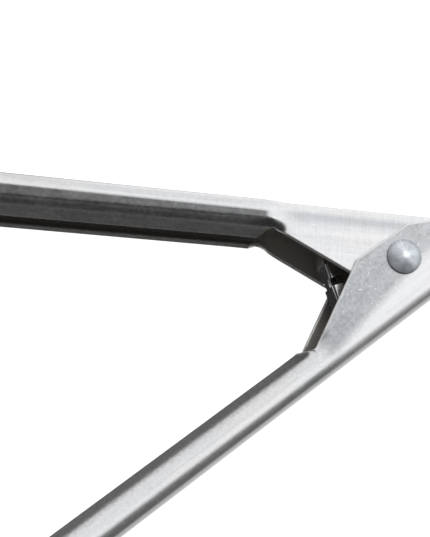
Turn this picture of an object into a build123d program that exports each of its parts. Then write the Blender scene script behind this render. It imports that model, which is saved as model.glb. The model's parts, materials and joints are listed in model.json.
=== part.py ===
from build123d import *
import math
import os

# Spring loaded kitchen tongs, in millimetres, lying on their side.
#
# Two stamped sheet-steel arms turn on one rivet. Their ears overlap at the rivet: the lower arm's
# ears are outside, the upper arm's ears are inside. A leaf spring between the ears pushes the arms
# apart until the upper arm's rear corners meet the lower arm's back.
#
# Every arm is first made in its own frame: the rivet's axis is Z through the origin, the arm runs
# towards -X, its flat back is at +Y, and its open side faces -Y, where the other arm is.
# "Station" means the distance from the rivet towards the head, and "depth" means the distance
# towards the other arm, so a point is at X = -station, Y = -depth.

# Sheet and channel
SHEET = 1.2                 # thickness of the arms' sheet steel
HALF_WIDTH = 11.0           # half of an arm's outer width
EAR_GAP = 0.05              # running gap between an outer and an inner ear
BACK = -13.0                # depth of the flat back's outer face
CORNER_R = 3.4              # outer radius between the back and a side wall
WALL_TURN = 102.0           # turn of that corner: the side walls lean inwards a little
WALL = 1.4                  # straight length of a side wall at the ears
WALL_AT_HEAD = 3.4          # and at the head: the channel slowly gets deeper
LIP_BEND_R = 4.0            # outer radius between a side wall and its lip
LIP_TURN = 52.0             # turn of that bend
LIP = 3.95                  # straight length of a lip

# Ears, as points of their outline given as (station, depth)
OUTER_REAR = (-15.5, 2.0)   # rear corner of the lower arm's ears
INNER_REAR = (-13.6, 1.2)   # rear corner of the upper arm's ears, which stops on the lower arm's back
HEEL = (-6.8, 6.5)          # where the rear slope meets the top edge
TIP = (10.6, 7.1)           # the ear's front corner
VALLEY = (35.4, -5.2)       # the notch between the ear and the lip
LIP_START = 38.5            # station at which the lips start
REAR_CORNER_R = 1.5
HEEL_R = 4.0
TIP_R = 2.2
VALLEY_R = 1.6
FLARE_START = 32.5          # the flat ears fold into the channel between these stations
FLARE_END = 41.0
FLARE_SLICES = 6

# Head
UNFOLD_START = 222.0        # the channel opens into the head's tray between these stations
UNFOLD_END = 246.0
UNFOLD_SLICES = 10
NOSE_CENTRE = 271.0         # station of the centre of the round nose
TRAY_FLAT = 8.0             # half of the tray's flat floor
TRAY_CORNER_R = 8.0
TRAY_TURN = 65.0            # slope of the tray's walls
TRAY_WALL = 3.0             # first of the wall's three stretches, like the channel's
TRAY_BEND = 3.5             # second stretch; the third reaches the rim
RIM = 1.2                   # depth of the crests of the scalloped rim
SCALLOP_R = 3.2             # radius of the hollows between the crests
SCALLOP_LIFT = 1.8          # how far the hollows' centres lie above the crests
NOSE_PITCHES = 10           # scallops round the nose's half circle
SIDE_PITCHES = 4            # scallops along each straight side

# Rivet, sleeve and spring
SHANK_R = 2.5
RIVET_CLEARANCE = 0.04      # radial running clearance round the shank
HEAD_R = 4.65
HEAD_RISE = 2.3
HEAD_RIM = 0.5              # straight edge under the dome
FORMED_R = 4.0              # the riveted-over end on the far side
FORMED_RISE = 1.7
SLEEVE_R = 4.0
SLEEVE_PLAY = 0.1           # end play between the sleeve and each inner ear
SPRING_SHEET = 0.8
SPRING_WIDTH = 6.5
BELLY = 18.6                # distance from the rivet's axis to the middle of the spring's belly
BELLY_FLAT = 5.0            # half length of the flat belly
SPRING_GAP = 0.1            # gap between the spring's legs and the arms' backs
LEG = 6.0                   # straight length of each leg
CHEEK = 6.0                 # length of the cheeks folded back from the belly's sides
CHEEK_SPAN = 7.4            # width over both cheeks
CHEEK_BEND_R = 0.9          # outer radius between the belly and a cheek
NOTCH_WIDTH = 2.1           # notch that splits each cheek, so that the belly can bend
NOTCH_DEPTH = 2.2           # how far it reaches into the belly from its side

# Joint
HALF_OPENING = 20.3         # angle of each arm from the middle plane, at rest

INNER_HALF_WIDTH = HALF_WIDTH - SHEET - EAR_GAP
TRAY_SLOPE = math.radians(TRAY_TURN)
TRAY_DEPTH = RIM - SHEET * math.cos(TRAY_SLOPE) - BACK      # to the rim's outer edge
TRAY_SIDE = (TRAY_DEPTH - TRAY_CORNER_R * (1 - math.cos(TRAY_SLOPE))) / math.sin(TRAY_SLOPE)
TRAY_LIP = TRAY_SIDE - TRAY_WALL - TRAY_BEND
TRAY_HALF_WIDTH = (
    TRAY_FLAT + TRAY_CORNER_R * math.sin(TRAY_SLOPE) + TRAY_SIDE * math.cos(TRAY_SLOPE)
)
FAR = 60.0                  # more than any arm's depth or width: such cutters reach right through


def mix(a, b, k):
    return a + (b - a) * k


def smooth(k):
    """Ease in and out between 0 and 1."""
    return k * k * (3 - 2 * k)


def arm_plane(station):
    """The plane across the arm: its local x is the width, its local y is the depth."""
    return Plane(origin=(-station, 0, 0), x_dir=(0, 0, 1), z_dir=(1, 0, 0))


class Strip:
    """Half of a bent sheet's section, drawn from the middle of the back to the free edge."""

    def __init__(self, flat, corner_r, turn, wall, bend, lip_turn, lip):
        self.flat = flat
        self.corner_r = corner_r
        self.turn = turn
        self.wall = wall
        self.bend = bend            # length of the bend's arc along the outer face
        self.lip_turn = lip_turn
        self.lip = lip

    def between(self, other, k):
        return Strip(*(mix(a, b, k) for a, b in zip(vars(self).values(), vars(other).values())))

    def path(self, inset):
        """Edges from the middle of the back to the free edge, on the face that lies inset
        from the outer face, for the half at positive width."""
        at = Vector(self.flat, BACK + inset)
        edges = []
        heading = 0.0
        steps = [
            (math.radians(self.turn) * self.corner_r, self.turn),
            (self.wall, 0.0),
            (self.bend, self.lip_turn),
            (self.lip, 0.0),
        ]
        for length, turn in steps:
            if turn < 0.01:
                end = at + Vector(1, 0).rotate(Axis.Z, heading) * length
                edges.append(Edge.make_line(at, end))
            else:
                radius = length / math.radians(turn) - inset
                centre = at + Vector(0, 1).rotate(Axis.Z, heading) * radius
                middle = centre + (at - centre).rotate(Axis.Z, turn / 2)
                end = centre + (at - centre).rotate(Axis.Z, turn)
                edges.append(Edge.make_three_point_arc(at, middle, end))
            at = end
            heading += turn
        return edges

    def half_profile(self):
        """Outline of the sheet's half section, with an edge on the middle plane."""
        outer = self.path(0)
        inner = self.path(SHEET)
        first_outer = outer[0].position_at(0)
        first_inner = inner[0].position_at(0)
        middle_outer = Vector(0, first_outer.Y)
        middle_inner = Vector(0, first_inner.Y)
        free_end = Edge.make_line(outer[-1].position_at(1), inner[-1].position_at(1))
        flat_outer = Edge.make_line(middle_outer, first_outer)
        flat_inner = Edge.make_line(first_inner, middle_inner)
        middle = Edge.make_line(middle_inner, middle_outer)
        return [flat_outer, *outer, free_end, *reversed(inner), flat_inner, middle]


def place(edges, station):
    """Put a section drawn as (width, depth) across the arm at a station."""
    plane = arm_plane(station)
    return [plane.from_local_coords(edge) for edge in edges]


def half_slice(strip_a, station_a, strip_b, station_b):
    """The half of an arm between two sections."""
    wires = [
        Wire(place(strip_a.half_profile(), station_a)),
        Wire(place(strip_b.half_profile(), station_b)),
    ]
    return Solid.make_loft(wires, ruled=True)


def both_halves(half):
    return half + mirror(half, about=Plane.XY)


def ear_strip(half_width):
    """Section across the ears: straight walls, high enough to be trimmed to the outline."""
    wall = TIP[1] - BACK - CORNER_R + 1.0 - LIP - LIP_BEND_R * math.radians(LIP_TURN)
    bend = LIP_BEND_R * math.radians(LIP_TURN)
    return Strip(half_width - CORNER_R, CORNER_R, 90.0, wall, bend, 0.0, LIP)


def flare_strip(half_width):
    """The ears' section with the developed length of the channel's."""
    bend = LIP_BEND_R * math.radians(LIP_TURN)
    return Strip(half_width - CORNER_R, CORNER_R, 90.0, WALL, bend, 0.0, LIP)


def channel_strip(wall):
    bend = LIP_BEND_R * math.radians(LIP_TURN)
    return Strip(HALF_WIDTH - CORNER_R, CORNER_R, WALL_TURN, wall, bend, LIP_TURN, LIP)


def tray_strip():
    return Strip(TRAY_FLAT, TRAY_CORNER_R, TRAY_TURN, TRAY_WALL, TRAY_BEND, 0.0, TRAY_LIP)


def morph(strip_a, station_a, strip_b, station_b, slices):
    """A stretch of the arm that changes smoothly from one section to another."""
    parts = []
    for i in range(slices):
        k0 = i / slices
        k1 = (i + 1) / slices
        parts.append(
            half_slice(
                strip_a.between(strip_b, smooth(k0)), mix(station_a, station_b, k0),
                strip_a.between(strip_b, smooth(k1)), mix(station_a, station_b, k1),
            )
        )
    return parts


def ear_outline(rear):
    """Prism that holds everything the ears and the flare keep."""
    floor = BACK - 1
    lip_depth = channel_strip(WALL).path(0)[-1].position_at(1).Y
    points = [
        (rear[0], floor),
        rear,
        HEEL,
        TIP,
        VALLEY,
        (LIP_START, lip_depth),
        (FAR, lip_depth),
        (FAR, floor),
    ]
    outline = Polyline(*[(-s, -d) for s, d in points], close=True)
    face = make_face(outline).face()
    for (station, depth), radius in (
        (rear, REAR_CORNER_R),
        (HEEL, HEEL_R),
        (TIP, TIP_R),
        (VALLEY, VALLEY_R),
    ):
        corner = face.vertices().sort_by_distance((-station, -depth, 0))[0]
        face = face.fillet_2d(radius, [corner])
    return extrude(face, FAR, both=True)


def scallop_bar():
    """Cutter for one hollow of the rim: a round bar through the wall at +Z of the nose's centre."""
    bar = Cylinder(SCALLOP_R, FAR, align=(Align.CENTER, Align.CENTER, Align.MIN))
    return Pos(0, 0, TRAY_FLAT) * bar


def nose():
    """The round end of the head: the tray's half section turned about the nose's centre."""
    face = Face(Wire(place(tray_strip().half_profile(), NOSE_CENTRE)))
    solid = revolve(face, Axis((-NOSE_CENTRE, 0, 0), (0, 1, 0)), -180)
    centre = Pos(-NOSE_CENTRE, -RIM - SCALLOP_LIFT, 0)
    pitch = 180 / NOSE_PITCHES
    bars = [centre * Rot(0, -(i + 0.5) * pitch, 0) * scallop_bar() for i in range(NOSE_PITCHES)]
    return solid.cut(*bars)


def tray():
    """Half of the head's straight stretch, with the scallops of one side."""
    solid = half_slice(tray_strip(), UNFOLD_END, tray_strip(), NOSE_CENTRE)
    pitch = math.pi * TRAY_HALF_WIDTH / NOSE_PITCHES
    bars = [
        Pos(-NOSE_CENTRE + (i + 0.5) * pitch, -RIM - SCALLOP_LIFT, 0) * scallop_bar()
        for i in range(SIDE_PITCHES)
    ]
    return solid.cut(*bars)


def rim_trim():
    """Block above the rim's crests, for the stretch where the lips swing out."""
    length = UNFOLD_END - UNFOLD_START
    block = Box(length, FAR, FAR * 2, align=(Align.MAX, Align.MAX, Align.CENTER))
    return Pos(-UNFOLD_START, -RIM, 0) * block


def rivet_hole():
    return Cylinder(SHANK_R + RIVET_CLEARANCE, FAR * 2)


def hinge_end(half_width, rear):
    """The ears and the flare that joins them to the channel."""
    ears = half_slice(ear_strip(half_width), rear[0], ear_strip(half_width), FLARE_START)
    folded = channel_strip(WALL)
    flare = morph(flare_strip(half_width), FLARE_START, folded, FLARE_END, FLARE_SLICES)
    outline = ear_outline(rear)
    halves = [part & outline for part in (ears, *flare)]
    return halves[0].fuse(*halves[1:])


def throat():
    """Half of the stretch where the channel opens into the head's tray."""
    trim = rim_trim()
    deepest = channel_strip(WALL_AT_HEAD)
    slices = morph(deepest, UNFOLD_START, tray_strip(), UNFOLD_END, UNFOLD_SLICES)
    return [part - trim for part in slices]


def arm(ear_half_width, rear):
    """One stamped arm, in the arm's own frame."""
    shallow = channel_strip(WALL)
    deep = channel_strip(WALL_AT_HEAD)
    handle = half_slice(shallow, FLARE_END, deep, UNFOLD_START)
    half = handle.fuse(hinge_end(ear_half_width, rear), tray(), *throat())
    return both_halves(half).fuse(nose()) - rivet_hole()


def dome(radius, rise, rim):
    """A rivet head standing on Z = 0: a short straight edge under a spherical cap."""
    cap = rise - rim
    sphere_r = (radius * radius + cap * cap) / (2 * cap)
    edge = Polyline((0, 0), (radius, 0), (radius, rim))
    arc = RadiusArc((radius, rim), (0, rise), -sphere_r)
    if arc.position_at(0.5).X < radius / 2:
        arc = RadiusArc((radius, rim), (0, rise), sphere_r)
    profile = make_face(edge + arc + Line((0, rise), (0, 0)))
    return revolve(Plane.XZ * profile, Axis.Z, 360)


def pivot_rivet():
    seat = HALF_WIDTH + EAR_GAP
    shank = Cylinder(SHANK_R, 2 * seat)
    near = Pos(0, 0, seat) * dome(HEAD_R, HEAD_RISE, HEAD_RIM)
    far = Pos(0, 0, -seat) * Rot(180, 0, 0) * dome(FORMED_R, FORMED_RISE, HEAD_RIM)
    return shank + near + far


def spacer_sleeve():
    """Tube round the shank that keeps the ears apart while the rivet is closed."""
    length = 2 * (INNER_HALF_WIDTH - SHEET - SLEEVE_PLAY)
    return Cylinder(SLEEVE_R, length) - Cylinder(SHANK_R + RIVET_CLEARANCE, length)


def leaf_spring():
    """A strip bent round a flat belly that faces the heads, with a leg along each arm's back
    and a notched cheek on each side of the belly."""
    half_turn = 90 + HALF_OPENING
    tilt = math.radians(HALF_OPENING)
    turn = math.radians(half_turn)
    leg_plane = -BACK - SHEET - SPRING_GAP - SPRING_SHEET / 2
    # The bend's radius makes each leg lie along the back of its arm
    bend_r = (leg_plane + BELLY * math.sin(tilt) - BELLY_FLAT * math.cos(tilt)) / (
        math.cos(tilt) * math.sin(turn) + math.sin(tilt) * (1 - math.cos(turn))
    )
    belly_end = Vector(-BELLY, BELLY_FLAT)
    centre = Vector(-BELLY + bend_r, BELLY_FLAT)
    bend_mid = centre + (belly_end - centre).rotate(Axis.Z, -half_turn / 2)
    bend_end = centre + (belly_end - centre).rotate(Axis.Z, -half_turn)
    leg_end = bend_end + Vector(math.cos(tilt), -math.sin(tilt)) * LEG
    upper = [
        Edge.make_line(Vector(-BELLY, 0), belly_end),
        Edge.make_three_point_arc(belly_end, bend_mid, bend_end),
        Edge.make_line(bend_end, leg_end),
    ]
    half = Wire(upper)
    half_face = make_strip(half)
    solid = extrude(half_face, SPRING_WIDTH / 2, both=True)
    strip = solid + mirror(solid, about=Plane.XZ)
    return strip + belly_cup() - cheek_notches()


def cup_block(span, corner_r):
    """Block with its two edges beside the belly rounded."""
    aligned = (Align.MIN, Align.CENTER, Align.CENTER)
    block = Box(CHEEK, 2 * BELLY_FLAT, span, align=aligned)
    return fillet(block.edges().filter_by(Axis.Y).group_by(Axis.X)[0], corner_r)


def belly_cup():
    """The belly's flat with its two cheeks, which keep the spring in the middle of the ears."""
    outside = Pos(-BELLY - SPRING_SHEET / 2, 0, 0) * cup_block(CHEEK_SPAN, CHEEK_BEND_R)
    inner_span = CHEEK_SPAN - 2 * SPRING_SHEET
    inside = Pos(-BELLY + SPRING_SHEET / 2, 0, 0) * cup_block(inner_span, CHEEK_BEND_R - SPRING_SHEET)
    return outside - inside


def cheek_notches():
    notch = Box(CHEEK * 2, NOTCH_WIDTH, NOTCH_DEPTH)
    offset = (CHEEK_SPAN - NOTCH_DEPTH) / 2
    return Pos(-BELLY, 0, offset) * notch + Pos(-BELLY, 0, -offset) * notch


def make_strip(wire):
    """Face of even thickness along a wire, half to each side."""
    edges = wire.edges()
    sides = []
    for side in (1, -1):
        offset = side * SPRING_SHEET / 2
        points = []
        for edge in edges:
            for at in (0, 0.5, 1):
                tangent = edge.tangent_at(at)
                normal = Vector(-tangent.Y, tangent.X)
                points.append(edge.position_at(at) + normal * offset)
        sides.append([
            Edge.make_line(points[0], points[2]),
            Edge.make_three_point_arc(points[3], points[4], points[5]),
            Edge.make_line(points[6], points[8]),
        ])
    first, second = sides
    start = Edge.make_line(first[0].position_at(0), second[0].position_at(0))
    end = Edge.make_line(first[-1].position_at(1), second[-1].position_at(1))
    return Face(Wire(first + [end] + second + [start]))


def lower(shape):
    return Rot(0, 0, HALF_OPENING) * mirror(shape, about=Plane.XZ)


def upper(shape):
    return Rot(0, 0, -HALF_OPENING) * shape


def main():
    os.makedirs("parts", exist_ok=True)
    parts = {
        "lower_arm": lower(arm(HALF_WIDTH, OUTER_REAR)),
        "upper_arm": upper(arm(INNER_HALF_WIDTH, INNER_REAR)),
        "pivot_rivet": pivot_rivet(),
        "spacer_sleeve": spacer_sleeve(),
        "leaf_spring": leaf_spring(),
    }
    # The origin is under the middle of the whole object, on the surface it lies on
    boxes = [shape.bounding_box() for shape in parts.values()]
    low_x = min(box.min.X for box in boxes)
    high_x = max(box.max.X for box in boxes)
    low_z = min(box.min.Z for box in boxes)
    place_all = Pos(-(low_x + high_x) / 2, 0, -low_z)
    print("rivet axis at x =", round(-(low_x + high_x) / 2, 3), "mm, middle at z =", round(-low_z, 3))
    for name, shape in parts.items():
        export_step(place_all * shape, f"parts/{name}.step")


main()
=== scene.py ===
import json
import math

import bmesh
import bpy
from mathutils import Matrix, Vector


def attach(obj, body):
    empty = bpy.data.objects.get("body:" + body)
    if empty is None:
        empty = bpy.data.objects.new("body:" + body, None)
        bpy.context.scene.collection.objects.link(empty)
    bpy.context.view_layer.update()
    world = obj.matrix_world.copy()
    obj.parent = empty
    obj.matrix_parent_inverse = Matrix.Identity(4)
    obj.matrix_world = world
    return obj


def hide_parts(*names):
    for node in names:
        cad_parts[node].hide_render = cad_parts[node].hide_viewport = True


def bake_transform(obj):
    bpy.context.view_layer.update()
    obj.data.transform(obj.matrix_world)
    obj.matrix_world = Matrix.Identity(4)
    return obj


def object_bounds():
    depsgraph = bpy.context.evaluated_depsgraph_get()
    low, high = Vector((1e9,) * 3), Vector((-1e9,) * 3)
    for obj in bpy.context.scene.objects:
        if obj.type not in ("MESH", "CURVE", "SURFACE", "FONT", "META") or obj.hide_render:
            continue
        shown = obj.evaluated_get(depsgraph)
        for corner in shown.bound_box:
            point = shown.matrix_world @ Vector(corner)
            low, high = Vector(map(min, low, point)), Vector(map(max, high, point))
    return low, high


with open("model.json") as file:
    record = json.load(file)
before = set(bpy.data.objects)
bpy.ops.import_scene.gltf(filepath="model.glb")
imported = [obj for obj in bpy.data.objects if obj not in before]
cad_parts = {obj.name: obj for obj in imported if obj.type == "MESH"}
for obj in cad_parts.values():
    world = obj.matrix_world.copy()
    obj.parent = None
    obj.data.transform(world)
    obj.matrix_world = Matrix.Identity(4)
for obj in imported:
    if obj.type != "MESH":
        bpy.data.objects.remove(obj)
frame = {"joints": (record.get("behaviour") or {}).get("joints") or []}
cad_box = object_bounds()

MM = 0.001

# The arms' sheet and channel, the same sizes as the CAD arms
SHEET = 1.2 * MM            # thickness of the sheet steel
HALF_WIDTH = 11.0 * MM      # half of an arm's outer width
EAR_GAP = 0.05 * MM         # running gap between an outer and an inner ear
INNER_HALF_WIDTH = HALF_WIDTH - SHEET - EAR_GAP
BACK = -13.0 * MM           # depth of the flat back. Depth counts towards the other arm
CORNER_R = 3.4 * MM         # outer radius between the back and a side wall
WALL_TURN = 102.0           # degrees that the sheet turns there, so the walls lean in
WALL = 1.4 * MM             # straight length of a side wall at the ears
WALL_AT_HEAD = 3.4 * MM     # and at the head
LIP_TURN = 52.0             # degrees that the sheet turns between a wall and its lip
LIP_BEND_R = 4.0 * MM
LIP_BEND = LIP_BEND_R * math.radians(LIP_TURN)  # length of that bend
LIP = 3.95 * MM             # straight length of a lip
EAR_SIDE = 3 * LIP          # and of an ear's side in its place, more than its outline needs
EDGE_ROUND = 0.3 * MM       # how far the sheet's cut edges are rounded off

# Outline of the ears as (station, depth, corner radius). A station is a distance along the arm
# from the rivet, positive towards the head
OUTER_REAR = (-15.5 * MM, 2.0 * MM, 1.5 * MM)
INNER_REAR = (-13.6 * MM, 1.2 * MM, 1.5 * MM)
HEEL = (-6.8 * MM, 6.5 * MM, 4.0 * MM)
TIP = (10.6 * MM, 7.1 * MM, 2.2 * MM)
VALLEY = (35.4 * MM, -5.2 * MM, 1.6 * MM)
LIP_START = 38.5 * MM       # the lip is whole from here on

# The fold, where the flat ears turn into the channel
FLARE_START = 29.0 * MM     # it lies between these two stations
FLARE_END = 44.0 * MM
UPPER_FRONT = 30.7 * MM     # the nearest that its rounded front comes to the rivet, on each arm
LOWER_FRONT = 33.4 * MM
FOLD_REACH = 0.9 * MM       # how far the front draws back at its top and bottom
FOLD_LENGTH = 5.0 * MM      # how long the sheet takes to fold behind the front
FOLD_MIDDLE = 3.8 * MM      # where the front comes nearest, counted from the back corner's end
FOLD_HALF = 4.2 * MM        # half height of the rounded front
BACK_START = 30.0 * MM      # the back and its corners change between these stations instead
BACK_END = 38.0 * MM
CORNER_BLEND = 2.2 * MM     # and the sides follow them over this length

# The head, a tray with a round nose and a scalloped rim
UNFOLD_START = 222.0 * MM   # the channel opens into the tray between these stations
UNFOLD_END = 246.0 * MM
NOSE_CENTRE = 271.0 * MM
TRAY_FLAT = 8.0 * MM        # half width of its flat back
TRAY_CORNER_R = 8.0 * MM
TRAY_TURN = 65.0
TRAY_WALL = 3.0 * MM        # straight lengths beyond the corner, long enough to reach past the rim
TRAY_BEND = 3.5 * MM
TRAY_LIP = 6.0 * MM
RIM = 1.2 * MM              # depth of the rim's crests on the inner face
OUTER_RIM = RIM - SHEET * math.cos(math.radians(TRAY_TURN))    # and on the outer face
SCALLOP = 1.4 * MM          # how far the hollows lie below the crests
NOSE_PITCHES = 10           # scallops round half of the nose, and along each side behind it
SIDE_PITCHES = 4

# How finely the sheet is divided
FLAT_COLUMNS = 5
CORNER_COLUMNS = 14
SIDE_COLUMNS = 40
EDGE_POINTS = 5
EAR_ROWS = 60
FOLD_ROWS = 48
HANDLE_ROWS = 40
UNFOLD_ROWS = 40
TRAY_ROWS = 60
NOSE_ROWS = 90
ARC_ROWS = 12
REAR_EDGE_ROWS = 4
THINNEST = 0.02             # the rear edge's first ring, as a part of the sheet's thickness
LEAST_ROW_GAP = 0.015 * MM

# Rivet, sleeve and spring
SHANK_R = 2.5 * MM
HOLE_R = 2.54 * MM
HEAD_R = 4.65 * MM          # the near head: its radius, its height and the height of its rim
HEAD_RISE = 2.3 * MM
HEAD_RIM = 0.5 * MM
HEAD_LAND = 0.5 * MM        # radius of the flat spot on top
FORMED_R = 4.0 * MM         # the far head
FORMED_RISE = 1.7 * MM
FORMED_LAND = 1.5 * MM
RIM_ROUND = 0.18 * MM
LATHE_STEPS = 96
SLEEVE_R = 4.0 * MM
SLEEVE_PLAY = 0.1 * MM
SLEEVE_CHAMFER = 0.25 * MM
SPRING_SHEET = 0.8 * MM
SPRING_WIDTH = 6.5 * MM
BELLY = 18.6 * MM           # the belly's distance from the rivet
BELLY_FLAT = 5.0 * MM       # half length of its flat part
SPRING_GAP = 0.1 * MM       # between a leg and the back that it lies against
LEG = 6.0 * MM
LEG_CORNER = 1.5 * MM       # rounding of the corners of the spring's ends
CHEEK = 6.0 * MM            # how far the belly's cheeks reach back
CHEEK_SPAN = 7.4 * MM       # across the outsides of both cheeks
CHEEK_BEND_R = 0.9 * MM
NOTCH_WIDTH = 2.1 * MM
NOTCH_DEPTH = 2.2 * MM
SPRING_COLUMNS = 20
OVERLAP = 0.02 * MM         # the cup is a hair thicker than the strip that it joins

# Steel colours, linear
STEEL_WARM = (0.73, 0.72, 0.705)
STEEL_COOL = (0.70, 0.72, 0.74)
STEEL_WORN = (0.445, 0.46, 0.475)
STEEL_SMOKY = (0.44, 0.46, 0.485)
# painted shade for the inner faces near the hinge
PAINTED_INSIDE_SHADE = (0.38, 0.35, 0.32)
# painted highlight along the cut edges
PAINTED_EDGE_HIGHLIGHT = (0.86, 0.86, 0.85)
RIVET_DARK = (0.35, 0.38, 0.41)
RIVET_LIGHT = (0.64, 0.67, 0.70)
SPRING_DARK = (0.45, 0.45, 0.45)
SPRING_LIGHT = (0.80, 0.80, 0.79)

# Where the finishes change, on the unrolled sheet
EAR_FINISH_END = 37.0 * MM
RUBBED_AT_RIVET = 4.2 * MM

# Light levels of the studio, by where they come from
AMBIENT = 0.03
BRIGHT_SIDE = 1.25
FAINT_SIDE = 0.02
GREY_WALL = 0.14
BRIGHT_BOARD = 0.5
GREY_BOARD = 0.11
REAR_BOARD = 0.5
BRIGHT_BEHIND = 0.6
FLOOR_GLOW = 0.85
OVERHEAD_WATTS = 90
OVERHEAD_SIZE = 3.0         # metres, as are the next three
OVERHEAD_HEIGHT = 1.6
FLOOR_HALF = 6.0
BACKDROP_R = 5.5

HALF_OPENING = math.radians(20.3)   # between an arm and the middle plane at rest
HINGE = Vector(frame["joints"][0]["pos_m"])

# The camera, as seen from the hinge
AIM = HINGE + Vector((-47.1, 12.3, 0.0)) * MM
VIEW_FROM = Vector((-0.28373, -0.20053, 0.93770))
VIEW_UP = Vector((0.24475, 0.93036, 0.27301))
CAMERA_DISTANCE = 539.1 * MM
LENS = 137.33               # millimetres, on a sensor this wide
SENSOR = 36


def mix(a, b, k):
    return a + (b - a) * k


def smooth(k):
    k = min(max(k, 0.0), 1.0)
    return k * k * (3 - 2 * k)


def cosd(degrees):
    return math.cos(math.radians(degrees))


def sind(degrees):
    return math.sin(math.radians(degrees))


class Section:
    """Half of the sheet's section at a station, followed by length from the middle of the back."""

    def reach(self, depth):
        """Length at which the outer face reaches a depth, or the whole length."""
        low, high = self.corner_end(), self.length()
        if self.at(high)[1] <= depth:
            return high
        for _ in range(40):
            middle = (low + high) / 2
            if self.at(middle)[1] < depth:
                low = middle
            else:
                high = middle
        return (low + high) / 2


class Strip(Section):
    """A section made of flat back, corner, wall, bend and lip, as lengths and turns."""

    def __init__(self, flat, corner, turn, wall, bend, lip_turn, lip):
        self.values = (flat, corner, turn, wall, bend, lip_turn, lip)
        self.flat = flat
        self.steps = ((corner, turn), (wall, 0.0), (bend, lip_turn), (lip, 0.0))

    def between(self, other, k):
        return Strip(*(mix(a, b, k) for a, b in zip(self.values, other.values)))

    def corner_end(self):
        return self.flat + self.steps[0][0]

    def length(self):
        return self.flat + sum(step[0] for step in self.steps)

    def at(self, s):
        """(width, depth, heading in degrees) of the outer face at a length."""
        x, y, heading = min(s, self.flat), BACK, 0.0
        rest = s - self.flat
        for length, turn in self.steps:
            if rest <= 0:
                break
            part = min(rest, length)
            bent = turn * part / length
            if abs(bent) < 1e-6:
                x += part * cosd(heading)
                y += part * sind(heading)
            else:
                radius = part / math.radians(bent)
                x += radius * (sind(heading + bent) - sind(heading))
                y += radius * (cosd(heading) - cosd(heading + bent))
            heading += bent
            rest -= part
        return x, y, heading

    def inner(self, s):
        """(width, depth) of the inner face at that length."""
        x, y, heading = self.at(s)
        return x - SHEET * sind(heading), y + SHEET * cosd(heading)


def flat_sided(half_width, lip):
    """A section whose sides stay flat."""
    corner = CORNER_R * math.radians(90)
    return Strip(half_width - CORNER_R, corner, 90.0, WALL, LIP_BEND, 0.0, lip)


def channel_strip(wall=WALL):
    corner = CORNER_R * math.radians(WALL_TURN)
    return Strip(HALF_WIDTH - CORNER_R, corner, WALL_TURN, wall, LIP_BEND, LIP_TURN, LIP)


def tray_strip():
    corner = TRAY_CORNER_R * math.radians(TRAY_TURN)
    return Strip(TRAY_FLAT, corner, TRAY_TURN, TRAY_WALL, TRAY_BEND, 0.0, TRAY_LIP)


class Fold(Section):
    """The section where the flat ear folds into the channel."""

    def __init__(self, half_width, station):
        self.ear = flat_sided(half_width, LIP)
        self.channel = channel_strip()
        self.station = station
        self.front = LOWER_FRONT if half_width == HALF_WIDTH else UPPER_FRONT
        self.flat = self.ear.flat

    def corner_end(self):
        return self.ear.corner_end()

    def length(self):
        return self.ear.length()

    def folded(self, s):
        """0 on the flat ear, 1 on the channel. The fold's front is rounded."""
        past_corner = s - self.corner_end()
        back = smooth((self.station - BACK_START) / (BACK_END - BACK_START))
        gentle = smooth((self.station - FLARE_START) / (FLARE_END - FLARE_START))
        up = (past_corner - FOLD_MIDDLE) / FOLD_HALF
        front = self.front + FOLD_REACH * min(up * up, 1.0)
        side = smooth((self.station - front) / FOLD_LENGTH)
        return mix(back, max(gentle, side), smooth(past_corner / CORNER_BLEND))

    def on_channel(self, s):
        """The length on the channel's section that stands for a length on the ear's."""
        ear, channel = self.ear, self.channel
        if s <= ear.flat:
            return s * channel.flat / ear.flat
        if s <= ear.corner_end():
            along = (s - ear.flat) / (ear.corner_end() - ear.flat)
            return mix(channel.flat, channel.corner_end(), along)
        return channel.corner_end() + s - ear.corner_end()

    def at(self, s):
        k = self.folded(s)
        other = self.channel.at(self.on_channel(s))
        return tuple(mix(a, b, k) for a, b in zip(self.ear.at(s), other))

    def inner(self, s):
        k = self.folded(s)
        other = self.channel.inner(self.on_channel(s))
        return tuple(mix(a, b, k) for a, b in zip(self.ear.inner(s), other))


def strip_at(station, half_width):
    """The arm's section at a station."""
    if station <= FLARE_START:
        return flat_sided(half_width, EAR_SIDE)
    if station < FLARE_END:
        return Fold(half_width, station)
    if station <= UNFOLD_START:
        k = (station - FLARE_END) / (UNFOLD_START - FLARE_END)
        return channel_strip(mix(WALL, WALL_AT_HEAD, k))
    if station < UNFOLD_END:
        k = (station - UNFOLD_START) / (UNFOLD_END - UNFOLD_START)
        return channel_strip(WALL_AT_HEAD).between(tray_strip(), smooth(k))
    return tray_strip()


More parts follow.
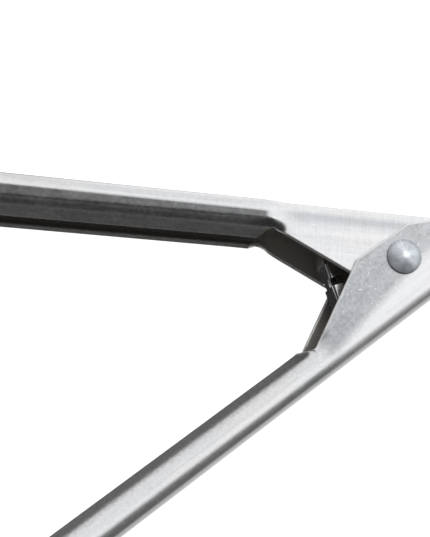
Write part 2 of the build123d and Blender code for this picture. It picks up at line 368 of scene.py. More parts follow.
class Outline:
    """Depth of the ears' edge at a station: straight lines joined by arcs."""

    def __init__(self, corners, end):
        points = [(corners[0][0], BACK, 0.0), *corners, end]
        self.arcs = []
        self.points = points
        for before, here, after in zip(points, points[1:], points[2:]):
            a = Vector((before[0] - here[0], before[1] - here[1])).normalized()
            b = Vector((after[0] - here[0], after[1] - here[1])).normalized()
            half = a.angle(b) / 2
            reach = here[2] / math.tan(half)
            centre = Vector(here[:2]) + (a + b).normalized() * here[2] / math.sin(half)
            start = Vector(here[:2]) + a * reach
            finish = Vector(here[:2]) + b * reach
            up = 1 if centre.y < here[1] else -1
            self.arcs.append((start, finish, centre, here[2], up))

    def stations(self):
        """Stations at which the rounded corners need rows."""
        found = []
        for start, finish, centre, radius, _ in self.arcs:
            first = math.atan2(start.y - centre.y, start.x - centre.x)
            last = math.atan2(finish.y - centre.y, finish.x - centre.x)
            turn = (last - first + math.pi) % (2 * math.pi) - math.pi
            for i in range(ARC_ROWS + 1):
                found.append(centre.x + radius * math.cos(first + turn * i / ARC_ROWS))
        return found

    def depth(self, station):
        for start, finish, centre, radius, up in self.arcs:
            if start.x <= station <= finish.x:
                inside = max(radius * radius - (station - centre.x) ** 2, 0.0)
                return centre.y + up * math.sqrt(inside)
        for a, b in zip(self.points[1:], self.points[2:]):
            if a[0] <= station <= b[0]:
                return mix(a[1], b[1], (station - a[0]) / (b[0] - a[0]))
        return self.points[-1][1]


def scallop_wave(along):
    """How far the rim lies below its crests, at a length along the rim from the nose's start."""
    pitch = math.pi * nose_radius() / NOSE_PITCHES
    return SCALLOP / 2 * (1 - math.cos(2 * math.pi * along / pitch))


def nose_radius():
    strip = tray_strip()
    return strip.at(strip.reach(OUTER_RIM))[0]


def edge_depth(station, outline):
    """Depth of the sheet's free edge at a station of the straight part of the arm."""
    if station <= LIP_START:
        return outline.depth(station)
    if station <= UNFOLD_START:
        return 0.0              # past the lip's edge: the lip is whole
    deepest = channel_strip(WALL_AT_HEAD)
    lip_depth = deepest.at(deepest.length())[1]
    k = (station - UNFOLD_START) / (UNFOLD_END - UNFOLD_START)
    depth = mix(lip_depth, OUTER_RIM, smooth(k))
    scalloped = SIDE_PITCHES * math.pi * nose_radius() / NOSE_PITCHES
    before_nose = NOSE_CENTRE - station
    if before_nose < scalloped:
        depth -= scallop_wave(before_nose)
    return depth


def half_loop(strip, end):
    """Outer, edge and inner points of half a section that ends at a length.

    Each is (width, depth, length, distance to the edge, 1 on the inner face or 0).
    """
    end -= EDGE_ROUND
    lengths = [strip.flat * i / FLAT_COLUMNS for i in range(FLAT_COLUMNS)]
    corner = strip.corner_end() - strip.flat
    lengths += [strip.flat + corner * i / CORNER_COLUMNS for i in range(CORNER_COLUMNS)]
    side = end - strip.corner_end()
    lengths += [strip.corner_end() + side * i / SIDE_COLUMNS for i in range(SIDE_COLUMNS + 1)]
    outer = [(*strip.at(s)[:2], s, end - s, 0.0) for s in lengths]
    inner = [(*strip.inner(s), s, end - s, 1.0) for s in lengths]
    last_out, last_in = Vector(outer[-1][:2]), Vector(inner[-1][:2])
    across = last_in - last_out
    along = Vector((across.y, -across.x)).normalized()
    edge = []
    for i in range(1, EDGE_POINTS + 1):
        k = i / (EDGE_POINTS + 1)
        out = EDGE_ROUND * math.sqrt(1 - (2 * k - 1) ** 4)
        point = last_out + across * k + along * out
        edge.append((point.x, point.y, end + out, 0.0, 0.0))
    return outer, edge, inner


def full_loop(strip, end, thin=1.0):
    """Closed loop round the whole section: outer face, edge, inner face, edge.

    thin draws the sheet's faces together, to a part of its thickness.
    """
    outer, edge, inner = half_loop(strip, end)
    if thin < 1.0:
        middles = [((a[0] + b[0]) / 2, (a[1] + b[1]) / 2) for a, b in zip(outer, inner)]
        outer = [drawn_to(m, p, thin) for m, p in zip(middles, outer)]
        inner = [drawn_to(m, p, thin) for m, p in zip(middles, inner)]
        edge = [drawn_to(middles[-1], p, thin) for p in edge]
    right = outer + edge + list(reversed(inner))
    left = [(-x, y, -s, *rest) for x, y, s, *rest in reversed(right)]
    # both halves hold the middle of the back's outer and inner face: each is kept once
    return left[:-1] + right[:-1]


def drawn_to(middle, point, k):
    """A half_loop point moved towards a middle, to a part k of its distance."""
    return (mix(middle[0], point[0], k), mix(middle[1], point[1], k), *point[2:])


def evenly(start, end, count):
    """count stations after start, up to and including end."""
    return [mix(start, end, i / count) for i in range(1, count + 1)]


def arm_stations(start, outline):
    """Where the arm's rows lie, from behind the rear edge to the nose's centre."""
    stations = [start + EDGE_ROUND, FLARE_START, LIP_START + 0.02 * MM]
    stations += evenly(start, FLARE_START, EAR_ROWS)[:-1]
    stations += [s for s in outline.stations() if s > start + EDGE_ROUND]
    stations += evenly(FLARE_START, FLARE_END, FOLD_ROWS)
    stations += evenly(FLARE_END, UNFOLD_START, HANDLE_ROWS)
    stations += evenly(UNFOLD_START, UNFOLD_END, UNFOLD_ROWS)
    stations += evenly(UNFOLD_END, NOSE_CENTRE, TRAY_ROWS)
    stations.sort()
    kept = stations[:1]
    for station in stations[1:]:
        if station - kept[-1] > LEAST_ROW_GAP:
            kept.append(station)
    return kept


def arm_rows(half_width, rear):
    """Every loop of the arm, as points with their station in front of full_loop's values."""
    folded = channel_strip()
    end_point = (LIP_START, folded.at(folded.length())[1])
    outline = Outline([rear, HEEL, TIP, VALLEY], end_point)
    start = rear[0]
    rows = []
    # the rear end's rounded edge
    strip = strip_at(start, half_width)
    end = strip.reach(outline.depth(start + EDGE_ROUND))
    for i in range(REAR_EDGE_ROWS):
        angle = math.radians(90) * i / REAR_EDGE_ROWS
        station = start + EDGE_ROUND * (1 - math.cos(angle))
        loop = full_loop(strip, end, max(math.sin(angle), THINNEST))
        rows.append([(station, x, y, s, 0.0, face) for x, y, s, _, face in loop])
    for station in arm_stations(start, outline):
        strip = strip_at(station, half_width)
        loop = full_loop(strip, strip.reach(edge_depth(station, outline)))
        to_rear = station - start
        rows.append([(station, x, y, s, min(to_edge, to_rear), f) for x, y, s, to_edge, f in loop])
    # the round nose
    strip = tray_strip()
    for i in range(1, NOSE_ROWS + 1):
        angle = math.pi / 2 * i / NOSE_ROWS
        along, aside = math.sin(angle), math.cos(angle)
        loop = full_loop(strip, strip.reach(OUTER_RIM - scallop_wave(angle * nose_radius())))
        rows.append([(NOSE_CENTRE + abs(x) * along, x * aside, *rest) for x, *rest in loop])
    return rows


def build_arm(name, half_width, rear, side):
    """One arm as a closed sheet. side is +1 for the upper arm and -1 for the lower arm."""
    work = bmesh.new()
    layer = work.loops.layers.uv.new("sheet")
    edge_layer = work.loops.layers.uv.new("edge")
    c, s = math.cos(HALF_OPENING), math.sin(HALF_OPENING)
    rings = []
    for row in arm_rows(half_width, rear):
        ring = []
        for station, width, depth, length, to_edge, inside in row:
            x = -c * station - s * depth
            y = side * (s * station - c * depth)
            vert = work.verts.new(HINGE + Vector((x, y, width)))
            ring.append((vert, (station, length), (max(to_edge, 0.0), inside)))
        rings.append(ring)
    count = len(rings[0])
    for ring_a, ring_b in zip(rings, rings[1:]):
        for i in range(count):
            j = (i + 1) % count
            corners = [ring_a[i], ring_a[j], ring_b[j], ring_b[i]]
            if side < 0:
                corners.reverse()
            face = work.faces.new([corner[0] for corner in corners])
            face.smooth = True
            for loop, corner in zip(face.loops, corners):
                loop[layer].uv = corner[1]
                loop[edge_layer].uv = corner[2]
    # the last ring's two halves meet at the nose's tip. The first ring is a thin slit, and is filled
    bmesh.ops.remove_doubles(work, verts=work.verts, dist=0.004 * MM)
    bmesh.ops.dissolve_degenerate(work, edges=work.edges, dist=0.001 * MM)
    bmesh.ops.holes_fill(work, edges=[edge for edge in work.edges if edge.is_boundary], sides=0)
    return link_mesh(name, work)


def evaluated_mesh(piece):
    """Applies a piece's modifiers."""
    bpy.context.view_layer.update()
    depsgraph = bpy.context.evaluated_depsgraph_get()
    mesh = bpy.data.meshes.new_from_object(piece.evaluated_get(depsgraph))
    piece.modifiers.clear()
    piece.data = mesh


def combine(piece, other, operation):
    """Adds or cuts another shape, which is then dropped."""
    modifier = piece.modifiers.new("combine", "BOOLEAN")
    modifier.operation = operation
    modifier.solver = "EXACT"
    modifier.object = other
    evaluated_mesh(piece)
    bpy.data.objects.remove(other)
    piece.data.set_sharp_from_angle(angle=math.radians(40))


def link_mesh(name, work):
    mesh = bpy.data.meshes.new(name)
    bmesh.ops.recalc_face_normals(work, faces=work.faces)
    work.to_mesh(mesh)
    work.free()
    piece = bpy.data.objects.new(name, mesh)
    bpy.context.scene.collection.objects.link(piece)
    return piece


def drill_rivet_hole(arm):
    work = bmesh.new()
    bmesh.ops.create_cone(
        work, segments=64, radius1=HOLE_R, radius2=HOLE_R, depth=6 * HALF_WIDTH, cap_ends=True
    )
    cutter = link_mesh("hole_cutter", work)
    cutter.location = HINGE
    combine(arm, cutter, "DIFFERENCE")


def lathe(name, profile):
    """Turns (radius, height) points round the rivet's axis. A radius of 0 becomes a single point."""
    work = bmesh.new()
    layer = work.loops.layers.uv.new("sheet")
    rings = []
    for radius, height in profile:
        if radius == 0:
            rings.append([work.verts.new(HINGE + Vector((0, 0, height)))])
            continue
        ring = []
        for i in range(LATHE_STEPS):
            angle = 2 * math.pi * i / LATHE_STEPS
            ring.append(work.verts.new(
                HINGE + Vector((radius * math.cos(angle), radius * math.sin(angle), height))
            ))
        rings.append(ring)
    pairs = list(zip(rings, rings[1:]))
    if profile[0][0] != 0:
        pairs.append((rings[-1], rings[0]))     # a tube: the profile closes on itself
    for below, above in pairs:
        for i in range(LATHE_STEPS):
            j = (i + 1) % LATHE_STEPS
            if len(below) == 1:
                corners = [below[0], above[j], above[i]]
            elif len(above) == 1:
                corners = [below[i], below[j], above[0]]
            else:
                corners = [below[i], below[j], above[j], above[i]]
            face = work.faces.new(corners)
            face.smooth = True
            for loop in face.loops:
                offset = loop.vert.co - HINGE
                loop[layer].uv = (offset.x, offset.y)
    piece = link_mesh(name, work)
    piece.data.set_sharp_from_angle(angle=math.radians(50))
    return piece


def dome_points(radius, rise, rim, land):
    """Profile of a rivet head from its middle to its seat: a land, a spherical cap, a rounded rim."""
    cap = rise - rim
    sphere = (radius * radius + cap * cap) / (2 * cap)
    centre = rise - sphere
    widest = math.asin(radius / sphere)
    least = math.asin(land / sphere)
    top = centre + sphere * math.cos(least)
    points = [(0.0, top), (land * 0.5, top)]
    steps = 28
    for i in range(steps + 1):
        angle = mix(least, widest, i / steps)
        points.append((sphere * math.sin(angle), centre + sphere * math.cos(angle)))
    for i in range(1, 6):
        angle = math.radians(18 * i)
        points.append((
            radius - RIM_ROUND * (1 - math.cos(angle)),
            RIM_ROUND * (1 - 0.98 * math.sin(angle)),
        ))
    points.append((radius - 2 * RIM_ROUND, 0.0))
    return points


def build_rivet():
    seat = HALF_WIDTH + EAR_GAP
    near = dome_points(HEAD_R, HEAD_RISE, HEAD_RIM, HEAD_LAND)
    far = dome_points(FORMED_R, FORMED_RISE, HEAD_RIM, FORMED_LAND)
    profile = [(r, seat + h) for r, h in near]
    profile += [(SHANK_R, seat), (SHANK_R, -seat)]
    profile += [(r, -seat - h) for r, h in reversed(far)]
    return lathe("rivet", profile)


def build_sleeve():
    half = INNER_HALF_WIDTH - SHEET - SLEEVE_PLAY
    end_r = SLEEVE_R - SLEEVE_CHAMFER
    upper = [(SLEEVE_R, half - SLEEVE_CHAMFER), (end_r, half), (HOLE_R, half)]
    return lathe("sleeve", [(r, -height) for r, height in reversed(upper)] + upper)


def spring_path():
    """Upper half of the spring's middle line from the belly, as (x, y, direction in radians)."""
    half_turn = math.radians(90) + HALF_OPENING
    c, s = math.cos(HALF_OPENING), math.sin(HALF_OPENING)
    leg_plane = -BACK - SHEET - SPRING_GAP - SPRING_SHEET / 2
    # the radius with which the bend runs out into the leg
    bend_r = (leg_plane + BELLY * s - BELLY_FLAT * c) / (
        c * math.sin(half_turn) + s * (1 - math.cos(half_turn))
    )
    points = [(-BELLY, BELLY_FLAT * i / 8, math.pi / 2) for i in range(8)]
    for i in range(33):
        turned = half_turn * i / 32
        points.append((
            -BELLY + bend_r * (1 - math.cos(turned)),
            BELLY_FLAT + bend_r * math.sin(turned),
            math.pi / 2 - turned,
        ))
    x, y, heading = points[-1]
    for i in range(1, 9):
        along = LEG * i / 8
        points.append((x + along * math.cos(heading), y + along * math.sin(heading), heading))
    return points


def bent_sheet(name, path, thickness, half_width, to_point):
    """Sheet of even thickness along a flat path of (u, v, direction) points, straight across it.

    half_width(to_end) is half of its width at a distance from the nearer end of the path, and
    to_point(u, v, width) puts a point in place.
    """
    travelled = [0.0]
    for (u0, v0, _), (u1, v1, _) in zip(path, path[1:]):
        travelled.append(travelled[-1] + math.hypot(u1 - u0, v1 - v0))
    work = bmesh.new()
    layer = work.loops.layers.uv.new("sheet")
    rings = []
    for (u, v, heading), along in zip(path, travelled):
        half = half_width(min(along, travelled[-1] - along))
        ring = []
        for side in (1, -1):
            pu = u - math.sin(heading) * side * thickness / 2
            pv = v + math.cos(heading) * side * thickness / 2
            for i in range(SPRING_COLUMNS + 1):
                width = mix(-half, half, i / SPRING_COLUMNS) * side
                ring.append((work.verts.new(to_point(pu, pv, width)), along, width))
        rings.append(ring)
    count = len(rings[0])
    for ring_a, ring_b in zip(rings, rings[1:]):
        for i in range(count):
            j = (i + 1) % count
            corners = [ring_a[i], ring_a[j], ring_b[j], ring_b[i]]
            face = work.faces.new([corner[0] for corner in corners])
            face.smooth = True
            for loop, corner in zip(face.loops, corners):
                loop[layer].uv = (corner[1], corner[2])
    for ring in (rings[0], rings[-1]):
        for i in range(count // 2 - 1):
            work.faces.new([
                ring[i][0], ring[i + 1][0], ring[count - 2 - i][0], ring[count - 1 - i][0]
            ])
    piece = link_mesh(name, work)
    piece.data.set_sharp_from_angle(angle=math.radians(40))
    return piece


def strip_half_width(to_end):
    """Half of the strip's width at a distance from its end, whose corners are rounded."""
    if to_end >= LEG_CORNER:
        return SPRING_WIDTH / 2
    missing = LEG_CORNER - math.sqrt(LEG_CORNER ** 2 - (LEG_CORNER - to_end) ** 2)
    return SPRING_WIDTH / 2 - missing


def cup_path():
    """Middle line of the belly and its cheeks, as (x, z, direction): back, round, across, back."""
    bend = CHEEK_BEND_R - SPRING_SHEET / 2
    side = CHEEK_SPAN / 2 - SPRING_SHEET / 2
    rear = -BELLY - SPRING_SHEET / 2 + CHEEK
    points = [(mix(rear, -BELLY + bend, i / 8), side, math.pi) for i in range(8)]
    for i in range(9):
        turned = math.radians(90) * i / 8
        points.append((
            -BELLY + bend - bend * math.sin(turned),
            side - bend + bend * math.cos(turned),
            math.pi + turned,
        ))
    across = side - bend
    points += [(-BELLY, mix(across, -across, i / 16), math.pi * 1.5) for i in range(1, 16)]
    mirrored = [(x, -z, math.pi - heading) for x, z, heading in reversed(points[:17])]
    return points + mirrored


def build_spring():
    """Leaf spring: a bent strip. The belly's cheeks are notched, so that it can bend."""
    upper = spring_path()
    lower = [(x, -y, math.pi - heading) for x, y, heading in reversed(upper[1:])]
    spring = bent_sheet(
        "leaf_spring_strip", lower + upper, SPRING_SHEET, strip_half_width,
        lambda x, y, width: HINGE + Vector((x, y, width)),
    )
    # no two faces may lie in one plane where the pieces join
    cup = bent_sheet(
        "cup", cup_path(), SPRING_SHEET + OVERLAP, lambda _: BELLY_FLAT,
        lambda x, z, width: HINGE + Vector((x, width, z)),
    )
    combine(spring, cup, "UNION")
    for side in (1, -1):
        notch = bmesh.new()
        bmesh.ops.create_cube(notch, size=1.0)
        cutter = link_mesh("notch_cutter", notch)
        cutter.scale = (CHEEK * 2, NOTCH_WIDTH, NOTCH_DEPTH * 2)
        cutter.location = HINGE + Vector((-BELLY, 0, side * CHEEK_SPAN / 2))
        combine(spring, cutter, "DIFFERENCE")
    return spring


class Graph:
    """Short ways to add nodes to one shader tree."""

    def __init__(self, tree):
        self.nodes = tree.nodes
        self.links = tree.links

    def put(self, value, socket):
        if isinstance(value, bpy.types.NodeSocket):
            self.links.new(value, socket)
        else:
            socket.default_value = value

    def math(self, kind, a, b=0.0, clamp=False):
        node = self.nodes.new("ShaderNodeMath")
        node.operation = kind
        node.use_clamp = clamp
        self.put(a, node.inputs[0])
        self.put(b, node.inputs[1])
        return node.outputs[0]

    def times(self, a, b):
        return self.math("MULTIPLY", a, b)

    def plus(self, a, b):
        return self.math("ADD", a, b)

    def vary(self, level, noise, amount):
        """A level moved up and down with a noise, which has its middle at a half."""
        return self.plus(level, self.times(self.plus(noise, -0.5), amount))

    def step(self, value, low, high, to_low=0.0, to_high=1.0):
        """Smooth step of a value between two limits."""
        node = self.nodes.new("ShaderNodeMapRange")
        node.interpolation_type = "SMOOTHSTEP"
        self.put(value, node.inputs["Value"])
        for name, setting in (
            ("From Min", low), ("From Max", high), ("To Min", to_low), ("To Max", to_high)
        ):
            self.put(setting, node.inputs[name])
        return node.outputs["Result"]

    def uv(self, layer):
        node = self.nodes.new("ShaderNodeUVMap")
        node.uv_map = layer
        return node.outputs["UV"]

    def split(self, vector):
        node = self.nodes.new("ShaderNodeSeparateXYZ")
        self.put(vector, node.inputs[0])
        return node.outputs

    def stretch(self, vector, per_metre, turn=0.0, shift=0.0):
        """Scales a flat vector differently along each axis, after turning it."""
        turned = self.nodes.new("ShaderNodeMapping")
        turned.vector_type = "POINT"
        turned.inputs["Rotation"].default_value = (0, 0, math.radians(turn))
        turned.inputs["Location"].default_value = (shift, shift, shift)
        self.put(vector, turned.inputs["Vector"])
        scaled = self.nodes.new("ShaderNodeMapping")
        scaled.vector_type = "POINT"
        scaled.inputs["Scale"].default_value = per_metre
        self.put(turned.outputs["Vector"], scaled.inputs["Vector"])
        return scaled.outputs["Vector"]

    def noise(self, vector, scale=1.0, detail=2.0, roughness=0.5):
        node = self.nodes.new("ShaderNodeTexNoise")
        self.put(vector, node.inputs["Vector"])
        node.inputs["Scale"].default_value = scale
        node.inputs["Detail"].default_value = detail
        node.inputs["Roughness"].default_value = roughness
        return node.outputs["Fac"]

    def nearest(self, vector):
        """Distance to the nearest of scattered points."""
        node = self.nodes.new("ShaderNodeTexVoronoi")
        self.put(vector, node.inputs["Vector"])
        node.inputs["Scale"].default_value = 1.0
        return node.outputs["Distance"]

    def blend(self, k, a, b):
        """Mix of two colours."""
        node = self.nodes.new("ShaderNodeMix")
        node.data_type = "RGBA"
        self.put(k, node.inputs["Factor"])
        for value, socket in ((a, node.inputs[6]), (b, node.inputs[7])):
            self.put((*value, 1) if isinstance(value, tuple) else value, socket)
        return node.outputs[2]

    def shade(self, colour, factor):
        """Colour times a number."""
        node = self.nodes.new("ShaderNodeVectorMath")
        node.operation = "SCALE"
        self.put(colour, node.inputs[0])
        self.put(factor, node.inputs["Scale"])
        return node.outputs[0]

    def bump(self, height, distance):
        node = self.nodes.new("ShaderNodeBump")
        node.inputs["Distance"].default_value = distance
        self.put(height, node.inputs["Height"])
        return node.outputs["Normal"]


def metal(name):
    """New metallic material: its graph and its shader."""
    material = bpy.data.materials.new(name)
    material.use_nodes = True
    shader = material.node_tree.nodes["Principled BSDF"]
    shader.inputs["Metallic"].default_value = 1
    return material, Graph(material.node_tree), shader


def scratches(g, sheet, turn, shift, density=1.0):
    """Short straight scratches that all run one way."""
    stretched = g.stretch(sheet, (230 * density, 1500 * density, 1), turn, shift)
    dashes = g.step(g.nearest(stretched), 0.2, 0.06)
    sparse = g.step(g.noise(g.stretch(sheet, (240, 240, 1), 0, shift + 3)), 0.5, 0.58)
    return g.times(dashes, sparse)


def arm_steel(name, half_width, shift, worn, transverse):
    """Sheet steel of one arm.

    worn: how dull and mottled the ears are. transverse: how strongly the ears are brushed across
    the arm's length. The handle is finely rolled along its length.
    """
    corner_end = half_width - CORNER_R + CORNER_R * math.radians(90)
    material, g, shader = metal(name)
    sheet = g.uv("sheet")
    station, length, _ = g.split(sheet)
    width = g.math("ABSOLUTE", length)
    to_edge, inside, _ = g.split(g.uv("edge"))
    outside = g.math("SUBTRACT", 1.0, inside)

    # where things lie: the ears, the area round the rivet, the strip beside the back's bend
    on_ear = g.step(station, EAR_FINISH_END, EAR_FINISH_END - 7 * MM)
    above_bend = g.math("SUBTRACT", width, corner_end)
    rubbed_limit = g.plus(RUBBED_AT_RIVET, g.times(station, -0.17))
    rubbed = g.times(on_ear, g.step(above_bend, rubbed_limit, g.plus(rubbed_limit, 3.4 * MM)))
    worn_area = g.times(rubbed, g.times(g.step(station, -5 * MM, 30 * MM, 0.75, 1.0), worn))
    worn_area = g.times(worn_area, outside)
    # a darker blue-grey band beside the bend, on the less worn arm
    beside_bend = g.step(above_bend, -1.2 * MM, 0.5 * MM)
    beside_bend = g.times(beside_bend, g.step(above_bend, 4.3 * MM, 0.8 * MM))
    smoky = g.times(g.times(beside_bend, g.step(station, 37 * MM, 27 * MM)), 1.0 - worn)
    at_edge = g.step(to_edge, 0.32 * MM, 0.1 * MM)
    # the lip and the bend before it kept their grainy mill finish
    grainy = g.times(g.step(to_edge, LIP + LIP_BEND * 0.8, LIP + LIP_BEND * 0.65), outside)
    grainy = g.times(grainy, g.step(station, 36 * MM, 44 * MM))

    # grain
    across = g.noise(g.stretch(sheet, (2600, 110, 1), 2, shift), detail=3.0)
    along = g.noise(g.stretch(sheet, (40, 2400, 1), 0, shift), detail=3.0)
    speckle = g.noise(g.stretch(sheet, (1000, 1000, 1), 0, shift), detail=5.0, roughness=0.7)
    cloud = g.noise(g.stretch(sheet, (190, 260, 1), 0, shift), detail=4.0, roughness=0.6)
    wide = g.noise(g.stretch(sheet, (28, 60, 1), 0, shift), detail=2.0)
    bands = g.noise(g.stretch(sheet, (9, 620, 1), 0, shift), detail=2.0)
    marks = g.math("MAXIMUM", scratches(g, sheet, 24, shift), scratches(g, sheet, -38, shift + 1))
    marks = g.math("MAXIMUM", marks, scratches(g, sheet, 77, shift + 2, 1.3))
    pits = g.step(g.nearest(g.stretch(sheet, (620, 620, 1), 11, shift)), 0.16, 0.06)

    # colour
    colour = g.blend(wide, STEEL_WARM, STEEL_COOL)
    colour = g.blend(worn_area, colour, STEEL_WORN)
    colour = g.blend(g.times(smoky, 0.75), colour, STEEL_SMOKY)
    factor = g.plus(g.times(on_ear, 0.1), 0.9)
    factor = g.vary(factor, cloud, g.plus(0.14, g.times(worn_area, 0.7)))
    factor = g.vary(factor, speckle, g.plus(0.3, g.times(worn_area, 0.75)))
    factor = g.vary(factor, speckle, g.times(grainy, 0.7))
    factor = g.vary(factor, across, g.times(on_ear, transverse * 0.24))
    factor = g.vary(factor, along, 0.14)
    factor = g.vary(factor, bands, 0.22)
    factor = g.plus(factor, g.times(marks, g.plus(0.05, g.times(worn_area, 0.7))))
    factor = g.plus(factor, g.times(pits, g.times(worn_area, -0.3)))
    colour = g.shade(colour, factor)
    # the inner faces are painted brown-black near the hinge, a painted shade for the hollow inside
    # the arms, and are left clean in the head
    inside_painted_shade = g.times(inside, g.step(station, 230 * MM, 100 * MM))
    colour = g.blend(g.times(inside_painted_shade, 0.85), colour, PAINTED_INSIDE_SHADE)
    # the cut edges are painted lighter: a painted highlight along them
    colour = g.blend(g.times(at_edge, 0.75), colour, PAINTED_EDGE_HIGHLIGHT)
    g.put(colour, shader.inputs["Base Color"])
    # the painted shade there is also made a little less metallic
    g.put(g.plus(1.0, g.times(inside_painted_shade, -0.07)), shader.inputs["Metallic"])

    # gloss
    rough = g.vary(0.24, cloud, 0.14)
    rough = g.vary(rough, speckle, 0.1)
    rough = g.plus(rough, g.times(on_ear, 0.06))
    rough = g.plus(rough, g.times(worn_area, 0.12))
    rough = g.plus(rough, g.times(grainy, 0.14))
    rough = g.plus(rough, g.times(marks, -0.06))
    rough = g.plus(rough, g.times(at_edge, 0.12))
    g.put(g.math("ADD", rough, 0.0, clamp=True), shader.inputs["Roughness"])

    # relief
    height = g.times(g.times(across, on_ear), transverse * 0.5)
    height = g.plus(height, g.times(along, 0.25))
    height = g.plus(height, g.times(speckle, g.plus(0.35, g.times(worn_area, 0.4))))
    height = g.plus(height, g.times(marks, -0.5))
    height = g.plus(height, g.times(pits, g.times(worn_area, -0.5)))
    g.put(g.bump(height, 0.012 * MM), shader.inputs["Normal"])
    return material


def rivet_steel(name, shift):
    """Tumbled steel: blue-grey, softly dappled, darker and duller towards the rim."""
    material, g, shader = metal(name)
    shader.inputs["Metallic"].default_value = 0.85
    sheet = g.uv("sheet")
    x, y, _ = g.split(sheet)
    radius = g.math("SQRT", g.plus(g.times(x, x), g.times(y, y)))
    dapple = g.noise(g.stretch(sheet, (900, 900, 1), 0, shift), detail=4.0, roughness=0.6)
    fine = g.noise(g.stretch(sheet, (3600, 3600, 1), 0, shift), detail=3.0)
    nicks = g.step(g.nearest(g.stretch(sheet, (480, 900, 1), 31, shift)), 0.14, 0.05)
    rim = g.step(radius, 3.4 * MM, 4.5 * MM)
    # the head was spun while it was polished: soft streaks of painted sheen run out from its middle,
    # in place of the highlights of that spun finish
    sheen_direction = g.nodes.new("ShaderNodeCombineXYZ")
    safe_radius = g.math("MAXIMUM", radius, 0.02 * MM)
    g.put(g.math("DIVIDE", x, safe_radius), sheen_direction.inputs[0])
    g.put(g.math("DIVIDE", y, safe_radius), sheen_direction.inputs[1])
    g.put(shift, sheen_direction.inputs[2])
    painted_sheen_rays = g.noise(sheen_direction.outputs[0], scale=1.6, detail=3.0, roughness=0.6)
    # a painted highlight in the middle of the head
    middle = g.step(radius, 1.5 * MM, 0.1 * MM)
    colour = g.blend(dapple, RIVET_DARK, RIVET_LIGHT)
    factor = g.vary(1.0, fine, 0.3)
    factor = g.vary(factor, painted_sheen_rays, g.times(g.step(radius, 0.2 * MM, 1.2 * MM), 1.5))
    factor = g.plus(factor, g.times(middle, 0.7))
    factor = g.plus(factor, g.times(nicks, 0.18))
    factor = g.plus(factor, g.times(rim, -0.15))
    g.put(g.shade(colour, factor), shader.inputs["Base Color"])
    rough = g.vary(0.4, dapple, 0.24)
    g.put(g.plus(rough, g.times(rim, 0.06)), shader.inputs["Roughness"])
    height = g.plus(dapple, g.times(nicks, -0.6))
    g.put(g.bump(g.plus(height, g.times(fine, 0.25)), 0.03 * MM), shader.inputs["Normal"])
    return material


def spring_steel(name, shift):
    """Rolled strip: fine lines along it, slightly smoky."""
    material, g, shader = metal(name)
    sheet = g.uv("sheet")
    lines = g.noise(g.stretch(sheet, (60, 2600, 1), 0, shift), detail=3.0)
    cloud = g.noise(g.stretch(sheet, (260, 260, 1), 0, shift), detail=4.0, roughness=0.6)
    speckle = g.noise(g.stretch(sheet, (2400, 2400, 1), 0, shift), detail=3.0)
    marks = scratches(g, sheet, 12, shift)
    colour = g.blend(cloud, SPRING_DARK, SPRING_LIGHT)
    factor = g.vary(1.0, lines, 0.2)
    factor = g.vary(factor, speckle, 0.12)
    factor = g.plus(factor, g.times(marks, 0.1))
    g.put(g.shade(colour, factor), shader.inputs["Base Color"])
    rough = g.vary(0.22, cloud, 0.16)
    g.put(g.plus(rough, g.times(marks, 0.08)), shader.inputs["Roughness"])
    height = g.plus(g.times(lines, 0.6), g.times(marks, -0.5))
    g.put(g.bump(g.plus(height, g.times(speckle, 0.3)), 0.01 * MM), shader.inputs["Normal"])
    return material


def build_camera():
    camera = bpy.data.objects.new("camera", bpy.data.cameras.new("camera"))
    bpy.context.scene.collection.objects.link(camera)
    back = VIEW_FROM.normalized()
    right = VIEW_UP.cross(back).normalized()
    up = back.cross(right)
    turn = Matrix((right, up, back)).transposed().to_4x4()
    camera.matrix_world = Matrix.Translation(AIM + back * CAMERA_DISTANCE) @ turn
    camera.data.lens = LENS
    camera.data.sensor_width = SENSOR
    camera.data.clip_start = 0.01
    camera.data.clip_end = 100
    bpy.context.scene.camera = camera


def plane(name, corners):
    mesh = bpy.data.meshes.new(name)
    mesh.from_pydata(corners, [], [(0, 1, 2, 3)])
    piece = bpy.data.objects.new(name, mesh)
    bpy.context.scene.collection.objects.link(piece)
    return piece


def floor_material():
    """Pale board lit from behind as well, so that shadows on it stay faint."""
    material = bpy.data.materials.new("floor_white")
    material.use_nodes = True
    g = Graph(material.node_tree)
    shader = g.nodes["Principled BSDF"]
    where = g.nodes.new("ShaderNodeTexCoord").outputs["Object"]
    grain = g.noise(where, scale=300, detail=3.0)
    tone = g.noise(where, scale=3, detail=2.0)
    level = g.plus(0.25, g.plus(g.times(grain, 0.006), g.times(tone, 0.01)))
    g.put(g.blend(level, (0.0, 0.0, 0.0), (1.0, 1.0, 1.0)), shader.inputs["Base Color"])
    shader.inputs["Roughness"].default_value = 0.9
    shader.inputs["Specular IOR Level"].default_value = 0.0
    shader.inputs["Emission Color"].default_value = (1, 1, 1, 1)
    shader.inputs["Emission Strength"].default_value = FLOOR_GLOW
    g.put(g.bump(grain, 0.05 * MM), shader.inputs["Normal"])
    return material


def build_floor():
    z = cad_box[0][2]
    corners = ((-1, -1), (1, -1), (1, 1), (-1, 1))
    floor = plane("floor", [(x * FLOOR_HALF, y * FLOOR_HALF, z) for x, y in corners])
    floor.data.materials.append(floor_material())
    floor.visible_glossy = False


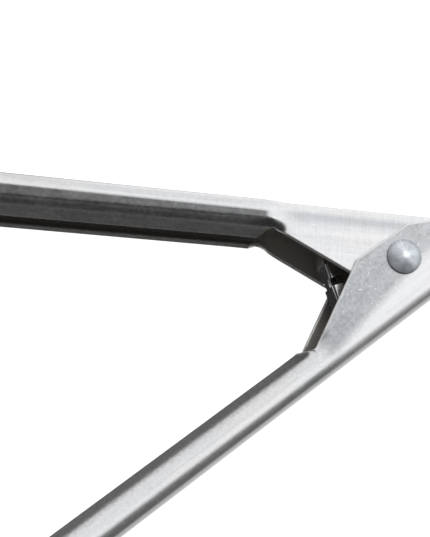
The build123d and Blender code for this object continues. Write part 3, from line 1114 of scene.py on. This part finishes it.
def build_world():
    """A studio as the steel sees it: a large bright side, and darkness across from it."""
    world = bpy.data.worlds.new("studio")
    bpy.context.scene.world = world
    world.use_nodes = True
    g = Graph(world.node_tree)
    background = g.nodes["Background"]
    x, y, z = g.split(g.nodes.new("ShaderNodeTexCoord").outputs["Generated"])

    level = AMBIENT
    # the bright side: overhead and towards +Y, reaching further over at +X and fading low at +Y
    slanted = g.plus(y, g.times(g.plus(x, -0.28), 0.9))
    faint = g.times(g.step(slanted, -0.7, -0.25), g.step(z, 0.3, 0.7))
    level = g.plus(level, g.times(faint, FAINT_SIDE))
    side = g.times(g.step(slanted, -0.22, -0.06), g.step(z, -0.1, 0.35))
    side = g.times(side, g.step(y, 0.25, 0.6, 1.0, 0.84))
    # beyond +X the bright side hangs lower, and fades straight behind the object
    low_side = g.times(g.step(x, 0.25, 0.45), g.step(y, 0.1, 0.4))
    low_side = g.times(low_side, g.step(z, -0.75, -0.35, 0.6, 0.9))
    side = g.math("MAXIMUM", side, low_side)
    level = g.plus(level, g.times(side, BRIGHT_SIDE))
    # a grey wall at -Y, +X and the brighter board under it
    grey = g.times(g.step(x, 0.2, 0.5), g.step(y, 0.1, -0.1))
    level = g.plus(level, g.times(grey, GREY_WALL))
    level = g.plus(level, g.times(g.times(grey, g.step(z, 0.0, -0.4)), BRIGHT_BOARD))
    # the board straight behind the object, which the rounded cut edges catch
    behind = g.times(g.step(z, -0.8, -0.92), g.step(x, -0.05, 0.15))
    level = g.plus(level, g.times(behind, BRIGHT_BEHIND))
    # the board under the object, towards +Y
    under = g.times(g.step(y, 0.2, 0.6), g.step(z, 0.15, -0.2))
    level = g.plus(level, g.times(under, GREY_BOARD))
    # a low board beyond the heads, which lights the arms' backs when they are seen from behind
    rear = g.times(g.step(z, 0.3, 0.05), g.step(z, -0.8, -0.6))
    level = g.plus(level, g.times(g.times(rear, g.step(x, -0.36, -0.5)), REAR_BOARD))
    g.put(level, background.inputs["Strength"])
    background.inputs["Color"].default_value = (0.992, 0.99, 1.0, 1)


def build_lights():
    """An overhead light for the floor. Steel doesn't mirror it."""
    data = bpy.data.lights.new("overhead", "AREA")
    data.shape = "SQUARE"
    data.size = OVERHEAD_SIZE
    data.energy = OVERHEAD_WATTS
    light = bpy.data.objects.new("overhead", data)
    bpy.context.scene.collection.objects.link(light)
    light.location = (0, 0, OVERHEAD_HEIGHT)
    light.visible_glossy = False
    light.visible_camera = False


def build_backdrop():
    """Pale dome behind everything. Only the camera sees it."""
    work = bmesh.new()
    bmesh.ops.create_uvsphere(work, u_segments=48, v_segments=24, radius=BACKDROP_R)
    dome = link_mesh("backdrop", work)
    material = bpy.data.materials.new("backdrop_white")
    material.use_nodes = True
    nodes, links = material.node_tree.nodes, material.node_tree.links
    nodes.remove(nodes["Principled BSDF"])
    emission = nodes.new("ShaderNodeEmission")
    emission.inputs["Color"].default_value = (1, 1, 1, 1)
    emission.inputs["Strength"].default_value = 1.0
    links.new(emission.outputs[0], nodes["Material Output"].inputs["Surface"])
    dome.data.materials.append(material)
    dome.visible_glossy = False
    dome.visible_diffuse = False
    dome.visible_shadow = False
    dome.visible_transmission = False


def main():
    build_camera()
    build_floor()
    build_backdrop()
    build_world()
    build_lights()
    lower = build_arm("lower_arm_sheet", HALF_WIDTH, OUTER_REAR, -1)
    upper = build_arm("upper_arm_sheet", INNER_HALF_WIDTH, INNER_REAR, 1)
    lower.data.materials.append(arm_steel("arm_steel_worn", HALF_WIDTH, 0.0, 1.0, 0.25))
    upper.data.materials.append(arm_steel("arm_steel_brushed", INNER_HALF_WIDTH, 7.3, 0.05, 1.0))
    for arm, body in ((lower, "lower_arm"), (upper, "upper_arm")):
        drill_rivet_hole(arm)
        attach(arm, body)
        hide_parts(body)
    rivet, sleeve, spring = build_rivet(), build_sleeve(), build_spring()
    tumbled = rivet_steel("rivet_steel_tumbled", 1.7)
    for piece, node in ((rivet, "pivot_rivet"), (sleeve, "spacer_sleeve")):
        piece.data.materials.append(tumbled)
        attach(piece, "lower_arm")
        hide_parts(node)
    spring.data.materials.append(spring_steel("spring_steel_rolled", 4.1))
    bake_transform(spring)
    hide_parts("leaf_spring")
    bpy.context.scene.view_settings.view_transform = "Standard"


main()
